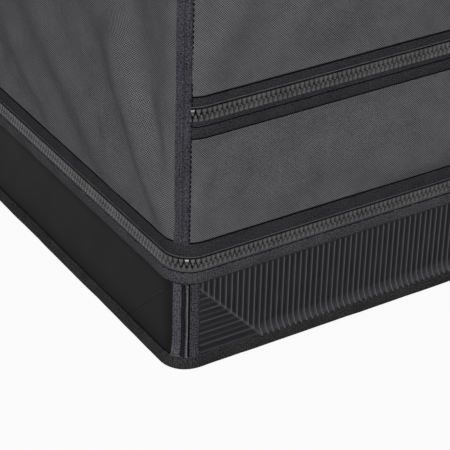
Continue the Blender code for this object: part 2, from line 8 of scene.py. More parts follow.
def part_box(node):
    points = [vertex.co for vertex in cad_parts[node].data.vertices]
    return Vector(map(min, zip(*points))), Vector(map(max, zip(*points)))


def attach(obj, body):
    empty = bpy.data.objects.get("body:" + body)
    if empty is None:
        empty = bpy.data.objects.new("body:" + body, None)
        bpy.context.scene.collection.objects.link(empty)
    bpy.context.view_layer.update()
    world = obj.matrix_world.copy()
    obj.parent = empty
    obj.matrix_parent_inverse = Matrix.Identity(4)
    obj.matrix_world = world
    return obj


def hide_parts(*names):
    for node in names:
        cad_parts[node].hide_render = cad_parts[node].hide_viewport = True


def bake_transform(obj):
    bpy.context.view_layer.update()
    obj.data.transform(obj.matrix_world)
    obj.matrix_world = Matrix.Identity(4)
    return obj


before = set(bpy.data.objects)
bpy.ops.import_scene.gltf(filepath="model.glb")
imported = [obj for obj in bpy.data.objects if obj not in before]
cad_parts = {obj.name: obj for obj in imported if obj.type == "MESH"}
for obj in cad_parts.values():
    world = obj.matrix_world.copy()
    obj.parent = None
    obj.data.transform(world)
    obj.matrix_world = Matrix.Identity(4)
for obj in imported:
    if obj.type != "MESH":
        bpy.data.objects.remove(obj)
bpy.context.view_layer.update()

# The wall line is walked anticlockwise as a run in metres that starts where the front's straight part starts.
# Heights are above the floor's underside, and out is the distance outward from the wall line.
wall = {"half": (0.532, 0.382), "radius": 0.018, "lift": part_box("bottom_skin")[0].z}
quarter = wall["radius"] * pi / 2
sideLengths = [2 * wall["half"][0], 2 * wall["half"][1]] * 2
breaks = [0.0]
for length in sideLengths:
    breaks += [breaks[-1] + length, breaks[-1] + length + quarter]
loopLength = breaks[-1]
cornerRuns = {
    "front_right": breaks[1] + quarter / 2,
    "back_right": breaks[3] + quarter / 2,
    "back_left": breaks[5] + quarter / 2,
    "front_left": -quarter / 2,
}


def wallAt(run):
    run = np.mod(np.asarray(run, float), loopLength)
    span = np.clip(np.searchsorted(breaks, run, side="right") - 1, 0, 7)
    start = np.asarray(breaks)[span]
    side, onCorner = span // 2, span % 2
    angle = np.radians(-90 + 90 * side) + np.where(onCorner == 1, (run - start) / wall["radius"], 0.0)
    signs = np.array([(1, -1), (1, 1), (-1, 1), (-1, -1)], float)
    centre = signs[side] * wall["half"]
    before = signs[side - 1] * wall["half"]
    share = np.clip((run - start) / np.asarray(sideLengths)[side], 0, 1)[..., None]
    centre = np.where(onCorner[..., None] == 1, centre, before + (centre - before) * share)
    outward = np.stack([np.cos(angle), np.sin(angle)], -1)
    return centre + wall["radius"] * outward, outward


def wallPoints(run, out, height):
    run, out, height = np.broadcast_arrays(np.asarray(run, float), out, height)
    point, outward = wallAt(run)
    flat = point + outward * out[..., None]
    return np.concatenate([flat, (height + wall["lift"])[..., None]], -1)


def cornerGap(run):
    # How far a run is from the nearest corner's middle, either way round.
    gaps = [(run - corner + loopLength / 2) % loopLength - loopLength / 2 for corner in cornerRuns.values()]
    return np.min(np.abs(gaps), 0)


def wallSpan(side, margin):
    # One wall from corner to corner, each end short of the corner's middle by the margin.
    return breaks[2 * side] - quarter / 2 + margin, breaks[2 * side + 1] + quarter / 2 - margin


def runsBetween(start, end, coarse, fine=0.0016, near=None):
    # Stations of a strip: fine round the corners, and where near is given also within that reach of one.
    bend = quarter / 2 + 0.001
    found = [start]
    while found[-1] < end - 1e-6:
        gap = cornerGap(found[-1])
        step = fine if gap < bend else coarse
        if near and bend <= gap < near[0]:
            step = near[1]
        found.append(found[-1] + step)
    found[-1] = end
    return np.array(found)


def makeObject(name, points, faces, uvs=None, sharp=None):
    mesh = bpy.data.meshes.new(name)
    mesh.from_pydata(np.asarray(points).reshape(-1, 3).tolist(), [], faces)
    if uvs is not None:
        layer = mesh.uv_layers.new(name="cloth")
        corner = np.empty(len(mesh.loops), np.int32)
        mesh.loops.foreach_get("vertex_index", corner)
        layer.data.foreach_set("uv", np.asarray(uvs, np.float32).reshape(-1, 2)[corner].ravel())
    mesh.shade_smooth()
    if sharp:
        mesh.set_sharp_from_angle(angle=radians(sharp))
    piece = bpy.data.objects.new(name, mesh)
    bpy.context.scene.collection.objects.link(piece)
    return piece


def ringFaces(rings, count, caps=True):
    # Quads between rings of points, and with caps a face over each end.
    index = np.arange(rings * count).reshape(rings, count)
    near, far = index[:-1], index[1:]
    faces = np.stack([near, far, np.roll(far, -1, 1), np.roll(near, -1, 1)], -1).reshape(-1, 4).tolist()
    if caps:
        faces += [index[0].tolist(), index[-1][::-1].tolist()]
    return faces


def stripPiece(name, runs, out, height, sharp):
    # A strip of closed sections walked from foot to head outside: out and height are (stations, points).
    points = wallPoints(runs[:, None], out, height)
    uvs = np.stack([np.broadcast_to(runs[:, None], out.shape), height], -1)
    return makeObject(name, points, ringFaces(*out.shape), uvs, sharp)


def sheetPiece(name, runs, out, height, thickness):
    # A sheet of cloth: an outer grid, its back, and the rim that joins them.
    outs = np.concatenate([out, out[:, ::-1] - thickness], 1)
    return stripPiece(name, runs, outs, np.concatenate([height, height[:, ::-1]], 1), 40)


def place(piece, body, material, node=None):
    piece.data.materials.append(material)
    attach(piece, body)
    if node:
        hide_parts(node)
    return piece


# Node trees

def addNode(tree, kind, inputs=None, **settings):
    node = tree.nodes.new(kind)
    for key, value in settings.items():
        setattr(node, key, value)
    for key, value in (inputs or {}).items():
        if isinstance(value, bpy.types.NodeSocket):
            tree.links.new(value, node.inputs[key])
        else:
            node.inputs[key].default_value = value
    return node


def maths(tree, operation, first, second=0.0, third=None):
    inputs = {0: first, 1: second}
    if third is not None:
        inputs[2] = third
    return addNode(tree, "ShaderNodeMath", inputs, operation=operation).outputs[0]


def newGroup(name, inputs, outputs):
    group = bpy.data.node_groups.new(name, "ShaderNodeTree")
    for label, kind in inputs:
        group.interface.new_socket(name=label, in_out="INPUT", socket_type=kind)
    for label, kind in outputs:
        group.interface.new_socket(name=label, in_out="OUTPUT", socket_type=kind)
    return group, group.nodes.new("NodeGroupInput"), group.nodes.new("NodeGroupOutput")


threadWobble = {"scale": 70.0, "amount": 7.0}
yarnStreaks = {"scale": 90.0, "stretch": 14.0}
mottleScale = 55.0


def weaveGroup():
    # Two families of threads crossed at the slant, with wobbling lines, and streaks of uneven yarn.
    group, given, result = newGroup(
        "wovenThreads",
        [("Cloth", "NodeSocketVector"), ("Pitch", "NodeSocketFloat"), ("Slant", "NodeSocketFloat")],
        [("Height", "NodeSocketFloat"), ("Yarn", "NodeSocketFloat")],
    )
    turned = addNode(group, "ShaderNodeVectorRotate", rotation_type="Z_AXIS",
                     inputs={"Vector": given.outputs["Cloth"], "Angle": given.outputs["Slant"]}).outputs[0]
    wobble = addNode(group, "ShaderNodeTexNoise",
                     {"Vector": turned, "Scale": threadWobble["scale"], "Detail": 1.0}).outputs["Fac"]
    shift = maths(group, "MULTIPLY", maths(group, "SUBTRACT", wobble, 0.5), threadWobble["amount"])
    parts = addNode(group, "ShaderNodeSeparateXYZ", {0: turned})
    waves = []
    for axis in (0, 1):
        turns = maths(group, "DIVIDE", parts.outputs[axis], given.outputs["Pitch"])
        waves.append(maths(group, "SINE", maths(group, "MULTIPLY_ADD", turns, 2 * pi, shift)))
    height = maths(group, "MULTIPLY_ADD", maths(group, "ADD", waves[0], waves[1]), 0.25, 0.5)
    stretched = addNode(group, "ShaderNodeVectorMath", {0: turned, 1: (1.0, yarnStreaks["stretch"], 1.0)},
                        operation="MULTIPLY").outputs[0]
    yarn = addNode(group, "ShaderNodeTexNoise",
                   {"Vector": stretched, "Scale": yarnStreaks["scale"], "Detail": 2.0})
    group.links.new(height, result.inputs["Height"])
    group.links.new(yarn.outputs["Fac"], result.inputs["Yarn"])
    return group


def grainGroup():
    # Uneven grain at one size with a coarser mottle under it, for tapes, moulded faces and coated sheet.
    group, given, result = newGroup(
        "fineGrain",
        [("Place", "NodeSocketVector"), ("Size", "NodeSocketFloat")],
        [("Grain", "NodeSocketFloat"), ("Mottle", "NodeSocketFloat")],
    )
    where = given.outputs["Place"]
    scale = maths(group, "DIVIDE", 1.0, given.outputs["Size"])
    for label, size, detail, rough in (("Grain", scale, 2.0, 0.6), ("Mottle", mottleScale, 4.0, 0.65)):
        noise = addNode(group, "ShaderNodeTexNoise",
                        {"Vector": where, "Scale": size, "Detail": detail, "Roughness": rough})
        group.links.new(noise.outputs["Fac"], result.inputs[label])
    return group


weave, grain = weaveGroup(), grainGroup()


def newMaterial(name, roughness, metallic=0.0, **sockets):
    material = bpy.data.materials.new(name)
    material.use_nodes = True
    tree = material.node_tree
    shader = tree.nodes["Principled BSDF"]
    shader.inputs["Roughness"].default_value = roughness
    shader.inputs["Metallic"].default_value = metallic
    for key, value in sockets.items():
        shader.inputs[key.replace("_", " ")].default_value = value
    return material, tree, shader


def groupNode(tree, group, inputs):
    return addNode(tree, "ShaderNodeGroup", inputs, node_tree=group)


def colourBetween(tree, factor, low, high):
    ends = [(*end, 1.0) if isinstance(end, tuple) else end for end in (low, high)]
    mix = addNode(tree, "ShaderNodeMix", {"Factor": factor, "A": ends[0], "B": ends[1]}, data_type="RGBA")
    return mix.outputs["Result"]


def linear(level):
    # A grey of the photograph, given as one or three display values from 0 to 255.
    levels = level if isinstance(level, tuple) else (level,) * 3
    return tuple(((v / 255 + 0.055) / 1.055) ** 2.4 if v > 10 else v / 255 / 12.92 for v in levels)


def bumpInto(tree, shader, height, strength, distance, before=None):
    inputs = {"Height": height, "Strength": strength, "Distance": distance}
    if before is not None:
        inputs["Normal"] = before
    bump = addNode(tree, "ShaderNodeBump", inputs)
    tree.links.new(bump.outputs[0], shader.inputs["Normal"])
    return bump.outputs[0]


def toneFrom(tree, start, *shares):
    # A tone from 0 to 1: masks times their shares, added to a start.
    for mask, share in shares:
        start = maths(tree, "MULTIPLY_ADD", mask, share, start)
    return addNode(tree, "ShaderNodeClamp", {0: start}).outputs[0]


clothFinish = {"roughness": 0.85, "specular": 0.03, "slant": 0.785, "depth": 0.00012,
               "start": -1.354, "threads": 2.2, "yarn": 0.378, "grain": 0.63, "mottle": 0.5}


def clothMaterial(name, low, high, pitch):
    finish = clothFinish
    material, tree, shader = newMaterial(name, finish["roughness"], Specular_IOR_Level=finish["specular"])
    cloth = addNode(tree, "ShaderNodeUVMap", uv_map="cloth").outputs[0]
    threads = groupNode(tree, weave, {"Cloth": cloth, "Pitch": pitch, "Slant": finish["slant"]})
    felt = groupNode(tree, grain, {"Place": cloth, "Size": pitch})
    tone = toneFrom(tree, finish["start"],
                    (threads.outputs["Height"], finish["threads"]), (threads.outputs["Yarn"], finish["yarn"]),
                    (felt.outputs["Grain"], finish["grain"]), (felt.outputs["Mottle"], finish["mottle"]))
    tree.links.new(colourBetween(tree, tone, low, high), shader.inputs["Base Color"])
    first = bumpInto(tree, shader, felt.outputs["Grain"], 0.5, finish["depth"])
    bumpInto(tree, shader, threads.outputs["Height"], 0.8, finish["depth"], before=first)
    return material


tapeFinish = {"roughness": 0.85, "specular": 0.03, "threadPitch": 1.4,
              "start": -1.2, "threads": 0.3, "grain": 2.4, "mottle": 0.6}


def tapeMaterial(name, low, high, size, depth=0.00035, coordinates="cloth"):
    finish = tapeFinish
    material, tree, shader = newMaterial(name, finish["roughness"], Specular_IOR_Level=finish["specular"])
    where = (addNode(tree, "ShaderNodeUVMap", uv_map="cloth").outputs[0] if coordinates == "cloth"
             else addNode(tree, "ShaderNodeTexCoord").outputs["Object"])
    felt = groupNode(tree, grain, {"Place": where, "Size": size})
    threads = groupNode(tree, weave, {"Cloth": where, "Pitch": size * finish["threadPitch"], "Slant": 0.0})
    tone = toneFrom(tree, finish["start"],
                    (felt.outputs["Grain"], finish["grain"]), (threads.outputs["Height"], finish["threads"]),
                    (felt.outputs["Mottle"], finish["mottle"]))
    tree.links.new(colourBetween(tree, tone, low, high), shader.inputs["Base Color"])
    first = bumpInto(tree, shader, felt.outputs["Grain"], 0.9, depth)
    bumpInto(tree, shader, threads.outputs["Height"], 0.4, depth, before=first)
    return material


sheetFinish = {"start": -0.25, "mottle": 1.0, "grain": 0.5, "edgeFrom": 0.52, "edgeTo": 0.62,
               "roughSpread": 0.25}


def sheetMaterial(name, low, high, roughness, size, depth, edge=None, metallic=0.0, gloss=0.5, crest=None):
    finish = sheetFinish
    material, tree, shader = newMaterial(name, roughness, metallic, Specular_IOR_Level=gloss)
    where = addNode(tree, "ShaderNodeTexCoord").outputs["Object"]
    faces = groupNode(tree, grain, {"Place": where, "Size": size})
    shares = [(faces.outputs["Mottle"], finish["mottle"]), (faces.outputs["Grain"], finish["grain"])]
    if edge:
        # Rubbed edges are paler, read from the mesh's own pointiness.
        point = addNode(tree, "ShaderNodeNewGeometry").outputs["Pointiness"]
        paling = addNode(tree, "ShaderNodeMapRange",
                      {"Value": point, "From Min": finish["edgeFrom"], "From Max": finish["edgeTo"]})
        shares.append((paling.outputs[0], edge))
    colour = colourBetween(tree, toneFrom(tree, finish["start"], *shares), low, high)
    if crest:
        # Painted highlight: the ribs' crests are painted paler than the sheet between them, where they catch
        # the light.
        crestHighlight = addNode(tree, "ShaderNodeAttribute", attribute_name="crest").outputs["Fac"]
        colour = colourBetween(tree, crestHighlight, colour, crest)
    tree.links.new(colour, shader.inputs["Base Color"])
    spread = finish["roughSpread"]
    rough = maths(tree, "MULTIPLY_ADD", faces.outputs["Mottle"], spread, roughness - spread / 2)
    tree.links.new(rough, shader.inputs["Roughness"])
    bumpInto(tree, shader, faces.outputs["Grain"], 0.6, depth)
    return material


looks = {
    "fabric": clothMaterial("grey_woven_fabric", linear((14, 14, 14)), linear((103, 102, 105)), 0.0010),
    "zipTape": tapeMaterial("zip_tape", linear((18, 18, 20)), linear((58, 58, 61)), 0.0009),
    # Pale cord colour: painted highlight on the zip cords, and the paler tone of the base's bead.
    "cord": tapeMaterial("zip_cord_tone_and_painted_highlight", linear((46, 46, 48)), linear((84, 84, 87)), 0.0007),
    "seamTape": tapeMaterial("seam_tape", linear((22, 21, 24)), linear((74, 73, 79)), 0.0011),
    "foldTape": tapeMaterial("folded_strip", linear((22, 22, 24)), linear((80, 79, 83)), 0.0010),
    "binding": tapeMaterial("binding_tape", linear(6), linear(62), 0.0009, 0.0005),
    # Near-black: real stitches, and lines of painted shade in the seams.
    "thread": tapeMaterial("black_thread_and_painted_shade", linear(4), linear(16), 0.0004, 0.0001, coordinates="object"),
    # Painted shade for the corner posts' grooves.
    "groove": tapeMaterial("painted_groove_shade", linear(6), linear(40), 0.0009),
    "skin": tapeMaterial("under_skin", linear(14), linear(40), 0.0012, coordinates="object"),
    "postTape": tapeMaterial("post_tape", linear((26, 25, 29)), linear((88, 87, 94)), 0.0011),
    "cuff": tapeMaterial("cuff_tape", linear((16, 16, 18)), linear((74, 74, 80)), 0.0010),
    "bead": tapeMaterial("pale_bead", linear((70, 70, 73)), linear((118, 118, 122)), 0.0007),
    "band": sheetMaterial("band_sheet_smooth", linear((16, 16, 17)), linear((27, 27, 29)),
                          0.5, 0.0008, 0.00006, gloss=0.03),
    # The ribbed sheet's pale crest colour is a painted highlight.
    "ribs": sheetMaterial("band_sheet_ribbed", linear((16, 16, 18)), linear((37, 37, 40)),
                          0.45, 0.0008, 0.00005, gloss=0.05, crest=linear((78, 78, 81))),
    # Painted highlight: the crease ridge of the black sheet is coloured pale where it catches the light.
    "crease": sheetMaterial("band_crease_painted_highlight", linear((84, 84, 86)), linear((112, 112, 115)),
                            0.45, 0.0008, 0.00005, gloss=0.1),
    "teeth": sheetMaterial("moulded_teeth", linear((26, 26, 27)), linear((88, 88, 89)),
                           0.28, 0.0006, 0.00003, gloss=0.3),
    "board": sheetMaterial("board_grain", linear(22), linear(42), 0.6, 0.0015, 0.0002, gloss=0.2),
    "steel": sheetMaterial("zinc_plate", linear(150), linear(196),
                           0.36, 0.0008, 0.00004, edge=0.4, metallic=1.0),
    "black": sheetMaterial("black_painted_metal", linear(14), linear(34),
                           0.38, 0.0006, 0.00003, edge=0.5, gloss=0.4),
    "knob": sheetMaterial("knob_moulding", linear(14), linear(34), 0.5, 0.0007, 0.00012, edge=0.3, gloss=0.3),
}
print("materials done", flush=True)


# Lid fabric

fabric = {"thickness": 0.0012, "bulge": 0.010, "foldDepth": 0.007, "foldWidth": 0.035, "foldReach": 0.170,
          "fine": 0.0032, "coarse": 0.0075, "near": 0.24, "row": 0.0034, "margin": 0.00015}
# Folds by the corner seam, as the photograph has them: (distance from the box's corner, height) along the
# fold, then its width and how far it stands out.
endFolds = [
    # The wide crease that runs down to the corner, bright on its near flank, and the slack behind it.
    ([(0.066, 0.205), (0.0530, 0.175), (0.0430, 0.153), (0.0320, 0.131), (0.0215, 0.112), (0.0145, 0.098)],
     0.0155, 0.0088),
    ([(0.104, 0.205), (0.0790, 0.165), (0.0590, 0.133), (0.0450, 0.112), (0.0350, 0.098)], 0.0150, -0.0040),
    ([(0.165, 0.180), (0.1300, 0.148), (0.1030, 0.122), (0.0870, 0.104), (0.0800, 0.096)], 0.0180, 0.0064),
    ([(0.086, 0.140), (0.0790, 0.124), (0.0730, 0.104)], 0.0046, 0.0011),
    # Small creases pulled from the corner seam.
    ([(0.036, 0.180), (0.0290, 0.166), (0.0220, 0.154), (0.0150, 0.1440)], 0.0044, -0.0018),
    ([(0.022, 0.176), (0.0160, 0.160), (0.0130, 0.140)], 0.0044, 0.0014),
    ([(0.026, 0.150), (0.0200, 0.136), (0.0120, 0.124)], 0.0040, -0.0012),
    # Slack over the tape at the far side.
    ([(0.212, 0.150), (0.1840, 0.124), (0.1690, 0.108), (0.1620, 0.096)], 0.0130, 0.0036),
    ([(0.262, 0.135), (0.2260, 0.115), (0.2050, 0.104), (0.1930, 0.096)], 0.0130, -0.0056),
    ([(0.230, 0.114), (0.2040, 0.106), (0.1840, 0.097)], 0.0050, 0.0020),
    ([(0.152, 0.128), (0.1380, 0.114), (0.1260, 0.102)], 0.0080, -0.0016),
]
frontFolds = [
    ([(0.012, 0.162), (0.0240, 0.158), (0.0300, 0.140), (0.0240, 0.124)], 0.0050, -0.0012),
    ([(0.014, 0.150), (0.0230, 0.146), (0.0200, 0.132)], 0.0036, 0.0011),
    ([(0.022, 0.160), (0.0260, 0.150), (0.0300, 0.138)], 0.0022, 0.0007),
    ([(0.085, 0.150), (0.1000, 0.125), (0.1060, 0.098)], 0.0080, -0.0018),
    ([(0.165, 0.090), (0.1950, 0.100), (0.2300, 0.114), (0.2800, 0.130), (0.3600, 0.144)], 0.0220, 0.0084),
    ([(0.120, 0.128), (0.1500, 0.142), (0.2100, 0.156)], 0.0120, -0.0012),
    ([(0.056, 0.098), (0.0700, 0.096), (0.0800, 0.098)], 0.0044, 0.0014),
]


def lineDistance(x, y, points):
    best = np.full(x.shape, 1e9)
    for (ax, ay), (bx, by) in zip(points, points[1:]):
        dx, dy = bx - ax, by - ay
        share = np.clip(((x - ax) * dx + (y - ay) * dy) / (dx * dx + dy * dy), 0, 1)
        best = np.minimum(best, np.hypot(x - ax - share * dx, y - ay - share * dy))
    return best


def hill(distance, width):
    return np.exp(-((distance / width) ** 2))


def fade(distance, width):
    # 1 at an edge, falling off behind it.
    return np.exp(-np.maximum(distance, 0) / width)


def ramp(distance, width):
    return np.clip(distance / width, 0, 1)


def cornerFold(across, up):
    distance = across - fabric["foldReach"] * np.maximum(up, 0) ** 0.8
    width = fabric["foldWidth"]
    shape = hill(distance, width) - 0.8 * hill(distance + width * 1.4, width)
    return fabric["foldDepth"] * shape * np.sin(pi * up)


def wander(run, height, lengths, seed):
    # Smooth random relief from a few slanted waves.
    local = np.random.default_rng(seed)
    total = 0.0
    for length in lengths:
        angle, phase = local.uniform(-1.1, 1.1), local.uniform(0, 2 * pi)
        total = total + np.sin(2 * pi * (run * cos(angle) + height * sin(angle)) / length + phase)
    return total / len(lengths)


# Puckers along the sewn edges and the fabric's slow unevenness: how deep, and the lengths of their waves.
unevenness = {"hem": (0.00045, (0.013, 0.021, 0.034, 0.008)), "cornerSeam": (0.0007, (0.017, 0.029, 0.046)),
              "slow": (0.0011, (0.075, 0.110, 0.16, 0.23)), "fine": (0.00028, (0.021, 0.028, 0.037, 0.017))}
hems = {"held": 0.012, "pucker": 0.010, "puckerStart": 0.002, "pull": 0.016, "pullStart": 0.006,
        "inner": 0.03, "foldStart": 0.006, "foldRise": 0.008}


def panelRelief(side, run, height, foot, head, folds, seed, corner):
    length = sideLengths[side]
    along = run - breaks[2 * side]
    part = np.clip(along / length, 0, 1)
    edge = np.sin(pi * part)
    up = (height - foot) / (head - foot)
    relief = fabric["bulge"] * edge * np.sin(pi * up)
    corners = cornerFold(length * part, up) + cornerFold(length * (1 - part), up)
    relief = relief + corner * corners * np.minimum(1, 6 * edge)
    hem = np.minimum(height - foot, head - height)
    held = 1 - fade(hem, hems["held"])
    ends = (along + wall["radius"], length - along + wall["radius"])
    local = np.random.default_rng(seed)
    for end, across in enumerate(ends):
        for points, width, depth in folds[end]:
            points = [(x * local.uniform(0.97, 1.03), y) for x, y in points]
            away = hill(lineDistance(across, height, points), width)
            relief = relief + depth * away * held * (1 - fade(across - hems["foldStart"], hems["foldRise"]))
    sideHem = np.minimum(*ends) - wall["radius"] + quarter / 2
    pucker = fade(hem, hems["pucker"]) * ramp(hem, hems["puckerStart"])
    pull = fade(sideHem, hems["pull"]) * ramp(sideHem, hems["pullStart"]) * held
    inner = held * ramp(sideHem, hems["inner"])
    layers = (("hem", pucker, run, 0 * height), ("cornerSeam", pull, 0 * run, height),
              ("slow", inner, run, height), ("fine", inner, run, height))
    for step, (kind, mask, x, y) in enumerate(layers, 1):
        depth, lengths = unevenness[kind]
        relief = relief + depth * mask * wander(x, y, lengths, seed + step)
    return relief


def foldsLike(folds, share, lift=0.0):
    # The same folds shallower or higher up, for the corners that the photograph doesn't show.
    return [([(x, y + lift) for x, y in points], width, depth * share) for points, width, depth in folds]


# The sewn edges are rolled under: heights of the first rows, and their outs as shares of the roll.
hemRoll = {"height": 0.0006, "rows": (0.0, 0.0004, 0.0012), "first": 0.0022, "tuck": -0.0005,
           "shares": (0.5, 1.0, 0.35)}


def lidPanel(name, side, foot, head, folds, seed, corner=1.0, coarser=1.0):
    near = (fabric["near"], fabric["fine"] * coarser)
    runs = runsBetween(*wallSpan(side, fabric["margin"]), fabric["coarse"] * coarser, near=near)
    rows = max(8, int((head - foot) / fabric["row"] / coarser))
    inner = np.linspace(foot + hemRoll["first"], head - hemRoll["first"], rows)
    steps = np.array(hemRoll["rows"])
    heights = np.concatenate([foot + steps, inner, head - steps[::-1]])
    edge = [hemRoll["tuck"], *(hemRoll["height"] * share for share in hemRoll["shares"])]
    rolled = np.concatenate([edge, np.zeros(rows - 2), edge[::-1]])
    grid, tall = np.meshgrid(runs, heights, indexing="ij")
    relief = panelRelief(side, grid, tall, foot, head, folds, seed, corner) + rolled[None, :]
    piece = sheetPiece(name, runs, relief, tall, fabric["thickness"])
    return place(piece, "lid", looks["fabric"], name)


zipLevels = {"foot": 0.0719, "lidRow": 0.0766, "row": 0.0033, "tapeFoot": 0.0802, "tapeHead": 0.0904}
frontLevels = {"seam": 0.1632, "lowTapeHead": 0.1747, "lowRow": 0.1750, "highRow": 0.1797, "tapeFoot": 0.1833,
               "tapeHead": 0.1903}
panelLevels = {"foot": 0.0913, "lowerHead": frontLevels["seam"] - 0.0005, "upperFoot": 0.1909,
               "backFoot": 0.0772, "head": 0.3967}
lidPanel("panel_left", 3, panelLevels["foot"], panelLevels["head"],
         (foldsLike(endFolds, 0.8, 0.01), endFolds), 31)
lidPanel("panel_front_lower", 0, panelLevels["foot"], panelLevels["lowerHead"],
         (frontFolds, foldsLike(frontFolds, 0.8)), 41, corner=0.25)
lidPanel("panel_front_upper", 0, panelLevels["upperFoot"], panelLevels["head"],
         (foldsLike(endFolds, 0.5, 0.10), foldsLike(endFolds, 0.6, 0.11)), 51, coarser=1.2)
lidPanel("panel_right", 1, panelLevels["foot"], panelLevels["head"],
         (foldsLike(endFolds, 0.9), foldsLike(endFolds, 0.7, 0.02)), 61, coarser=1.4)
lidPanel("panel_back", 2, panelLevels["backFoot"], panelLevels["head"],
         (foldsLike(endFolds, 0.7, 0.02), foldsLike(endFolds, 0.8)), 71, coarser=1.4)
print("panels done", flush=True)


# Seam tapes, corner posts and their stitches

# The base's wall, which the posts and the bands share: its levels, and a small cove over the binding's edge.
bandLevels = {"foot": 0.0015, "head": 0.0615, "thickness": 0.0025, "binding": 0.0085}
cove = {"height": 0.012, "out": 0.0022}


def flare(height):
    return cove["out"] * np.clip(1 - (height - bandLevels["binding"]) / cove["height"], 0, 1) ** 2


uprightTape = {"sway": 0.0002, "swayLengths": (0.05, 0.031, 0.02), "lumps": 0.00012,
               "lumpLengths": (0.011, 0.019, 0.007), "pressedBelow": 0.0004, "back": 0.0001}


def crossStrip(name, corner, foot, head, profile, rowStep, body, material, node=None):
    # An upright tape over a corner: profile is (distance across, out) from its left edge to its right edge.
    across, out = np.array(profile).T
    rows = max(3, int((head - foot) / rowStep))
    heights = np.linspace(foot, head, rows)
    sway = uprightTape["sway"] * wander(0 * heights, heights, uprightTape["swayLengths"], 5)
    run = cornerRuns[corner] + across[None, :] + sway[:, None]
    lumps = uprightTape["lumps"] * wander(run * 4, heights[:, None], uprightTape["lumpLengths"], 6)
    lift = out[None, :] + lumps * (out > uprightTape["pressedBelow"])[None, :]
    if body == "base":
        lift = lift + flare(heights)[:, None]
    front = wallPoints(run, lift, heights[:, None])
    back = wallPoints(run[:, ::-1], uprightTape["back"], heights[:, None])
    count = 2 * len(profile)
    uvs = np.stack([np.concatenate([run, run[:, ::-1]], 1), np.repeat(heights[:, None], count, 1)], -1)
    faces = [face[::-1] for face in ringFaces(rows, count)]
    piece = makeObject(name, np.concatenate([front, back], 1), faces, uvs, 50)
    return place(piece, body, material, node)


seamProfile = [(-0.0050, 0.0002), (-0.0047, 0.0008), (-0.0030, 0.0010), (-0.0010, 0.0009), (-0.0004, 0.0004),
               (0.0001, 0.0003), (0.0006, 0.0013), (0.0014, 0.0018), (0.0026, 0.0019), (0.0036, 0.0017),
               (0.0042, 0.0010), (0.0046, 0.0003)]
postProfile = [(-0.0050, 0.0002), (-0.0047, 0.0012), (-0.0030, 0.0015), (-0.0012, 0.0013), (0.0002, 0.0010),
               (0.0010, 0.0003), (0.0028, 0.0003), (0.0034, 0.0008), (0.0038, 0.0011), (0.0042, 0.0010),
               (0.0045, 0.0004)]
# A near-black strip in the post's groove is painted shade, another dark thread lies beside it, and a pale
# cord lies between them.
postThreads = [
    ("groove", "groove",
     [(0.0002, 0.0003), (0.0006, 0.0011), (0.0016, 0.0013), (0.0028, 0.0011), (0.0034, 0.0003)]),
    ("cord", "bead",
     [(0.0037, 0.0006), (0.0039, 0.0015), (0.0042, 0.0017), (0.0045, 0.0015), (0.0047, 0.0006)]),
    ("edge", "thread", [(0.0048, 0.0001), (0.0050, 0.0006), (0.0054, 0.0007), (0.0058, 0.0001)]),
]
cuffProfile = [(0.0059, 0.0001), (0.0062, 0.0005), (0.0080, 0.0007), (0.0104, 0.0007), (0.0116, 0.0005),
               (0.0119, 0.0001)]
barRings = ((-0.5, 0.45), (-0.2, 1.0), (0.2, 1.0), (0.5, 0.45))


def stitchBars(centres, alongs, ups, length, radius, name):
    # Stitches: short rounded bars, each from four rings of four points.
    across = np.cross(alongs, ups)
    rings = []
    for shift, size in barRings:
        for angle in (0, pi / 2, pi, 3 * pi / 2):
            spoke = across * cos(angle) + ups * sin(angle)
            rings.append(centres + alongs * length * shift + radius * size * spoke)
    one = ringFaces(4, 4)
    faces = [[corner + 16 * k for corner in face] for k in range(len(centres)) for face in one]
    return makeObject(name, np.stack(rings, 1), faces)


def wallStitches(name, runs, out, heights, upright, length, radius):
    runs, heights = np.broadcast_arrays(np.asarray(runs, float), np.asarray(heights, float))
    outward = np.pad(wallAt(runs)[1], ((0, 0), (0, 1)))
    side = np.stack([-outward[:, 1], outward[:, 0], np.zeros(len(runs))], 1)
    along = np.tile([0.0, 0.0, 1.0], (len(runs), 1)) if upright else side
    piece = stitchBars(wallPoints(runs, out, heights), along, outward, length, radius, name)
    return place(piece, "lid", looks["thread"])


seamTape = {"foot": 0.0909, "rowStep": 0.004}
cornerPost = {"foot": 0.0088, "threadHead": 0.0612, "rowStep": 0.003}
seamStitch = {"foot": 0.0935, "pitch": 0.0034, "across": 0.0049, "out": 0.0005, "length": 0.0022,
              "radius": 0.00035}
for corner, run in cornerRuns.items():
    crossStrip("seam_tape_" + corner, corner, seamTape["foot"], panelLevels["head"], seamProfile,
               seamTape["rowStep"], "lid", looks["seamTape"], "seam_tape_" + corner)
    crossStrip("band_post_" + corner, corner, cornerPost["foot"], bandLevels["head"], postProfile,
               cornerPost["rowStep"], "base", looks["postTape"], "band_post_" + corner)
    extras = [(f"post_{label}_{corner}", profile, look) for label, look, profile in postThreads]
    if corner.startswith("front"):
        # The ribbed sheet's smooth end is bound with a strip of tape.
        way = 1 if corner == "front_left" else -1
        cuff = [(way * across, out) for across, out in cuffProfile[::way]]
        extras.append(("band_cuff_" + corner, cuff, "cuff"))
    for name, profile, look in extras:
        crossStrip(name, corner, cornerPost["foot"], cornerPost["threadHead"], profile,
                   cornerPost["rowStep"], "base", looks[look])
    heights = np.arange(seamStitch["foot"], panelLevels["head"] - 0.002, seamStitch["pitch"])
    wallStitches("seam_stitches_" + corner, run + seamStitch["across"], seamStitch["out"], heights, True,
                 seamStitch["length"], seamStitch["radius"])
print("seams done", flush=True)


# Zips: tapes, cords and moulded teeth

tapeSteps = {"coarse": 0.012, "fine": 0.0022, "near": (0.05, 0.005)}
tapeEnd = 0.0002


